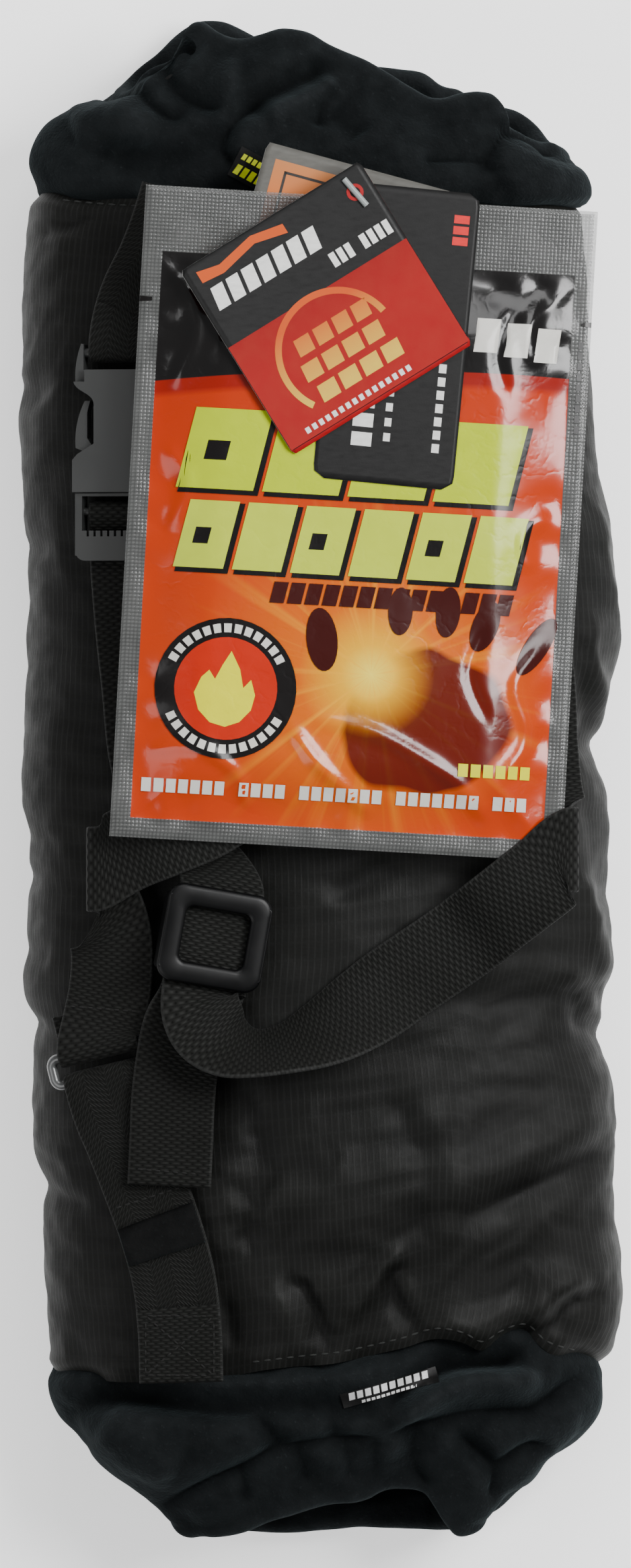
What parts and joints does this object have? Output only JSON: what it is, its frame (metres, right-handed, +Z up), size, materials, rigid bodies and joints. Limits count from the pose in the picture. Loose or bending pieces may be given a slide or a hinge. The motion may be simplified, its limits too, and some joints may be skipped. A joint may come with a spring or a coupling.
{
  "type": "hand warmer muff",
  "caption": "Padded hand warmer muff with gathered fleece cuffs, a webbing waist belt with side-release buckle, a heat pack and hang tags.",
  "frame": {"origin": "on the surface it lies on, under the middle of the bounding box", "axes": "+X across the muff, +Y along the hand tunnel towards the cuff with the hang tags, +Z up, out of the front that carries the belt"},
  "size_m": [0.178, 0.4496, 0.0947],
  "materials": {
    "shell_nylon": "black ripstop nylon",
    "batting": "white fibre batting",
    "fleece": "black napped fleece",
    "elastic": "braided elastic",
    "webbing": "coarse woven polypropylene webbing",
    "loop_tape": "fuzzy loop pile",
    "hook_tape": "hook tape",
    "buckle_plastic": "matte moulded acetal",
    "glide_plastic": "glossy black moulded",
    "ring_plastic": "pale grey glossy",
    "packet_film": "embossed clear film",
    "packet_print": "printed glossy film, orange and black",
    "pad_fabric": "non-woven pad",
    "tag_card": "laminated card, red and black",
    "tag_card_red": "laminated card, red",
    "black_card": "black card with a white cut edge",
    "orange_card": "orange card with a grey margin",
    "pin_plastic": "translucent grey plastic",
    "woven_label": null,
    "woven_label_white": null
  },
  "bodies": {
    "muff": {"back_panel": "shell_nylon", "belt_main": "webbing", "belt_return": "webbing", "belt_ring": "ring_plastic", "belt_tail": "webbing", "bottom_cuff": "fleece", "bottom_cuff_elastic": "elastic", "buckle_plug": "buckle_plastic", "fleece_lining": "fleece", "front_panel": "shell_nylon", "inner_pocket": "fleece", "insulation_label": "woven_label_white", "insulation_layer": "batting", "maker_label": "woven_label", "tab_hook_tape": "hook_tape", "tab_loop_tape": "loop_tape", "tab_reinforcement": "webbing", "tab_webbing": "webbing", "tag_pin": "pin_plastic", "top_cuff": "fleece", "top_cuff_elastic": "elastic", "tri_glide": "glide_plastic", "upper_strap": "webbing"},
    "socket": {"buckle_socket": "buckle_plastic"},
    "arm_left": {"plug_arm_left": "buckle_plastic"},
    "arm_right": {"plug_arm_right": "buckle_plastic"},
    "heat_pack": {"packet_back_film": "packet_film", "packet_front_film": "packet_print", "heat_pad": "pad_fabric"},
    "front_tag": {"front_tag_cover": "tag_card", "front_tag_leaf": "tag_card_red"},
    "insulation_tag": {"insulation_tag": "black_card"},
    "info_card": {"info_card": "orange_card"}
  },
  "joints": [
    {"name": "buckle_release", "type": "slide", "parent": "muff", "child": "socket", "axis": [0, 1, 0], "range_m": [0, 0.028], "deforming": ["upper_strap", "plug_arm_left", "plug_arm_right"]},
    {"name": "arm_left_press", "type": "hinge", "parent": "muff", "child": "arm_left", "pos_m": [-0.06628, 0.0889, 0.06814], "axis": [0.2288, 0, -0.9735], "range_deg": [0, 10], "stiffness_Nm_per_rad": 0.12},
    {"name": "arm_right_press", "type": "hinge", "parent": "muff", "child": "arm_right", "pos_m": [-0.04312, 0.0889, 0.07358], "axis": [0.2288, 0, -0.9735], "range_deg": [-10, 0], "stiffness_Nm_per_rad": 0.12},
    {"name": "heat_pack_pull", "type": "slide", "parent": "muff", "child": "heat_pack", "axis": [-0.9965, 0, 0.0837], "range_m": [0, 0.06]},
    {"name": "front_tag_swing", "type": "hinge", "parent": "muff", "child": "front_tag", "pos_m": [0.01, 0.1727, 0.08196], "axis": [0.0837, 0, 0.9965], "range_deg": [-50, 40]},
    {"name": "insulation_tag_swing", "type": "hinge", "parent": "muff", "child": "insulation_tag", "pos_m": [0.01, 0.1727, 0.08196], "axis": [0.0837, 0, 0.9965], "range_deg": [-40, 40]},
    {"name": "info_card_swing", "type": "hinge", "parent": "muff", "child": "info_card", "pos_m": [0.01, 0.1727, 0.08196], "axis": [0.0837, 0, 0.9965], "range_deg": [-15, 20]}
  ],
  "couplings": [
    {"joint": "arm_right_press", "follows": "arm_left_press", "ratio": -1}
  ]
}
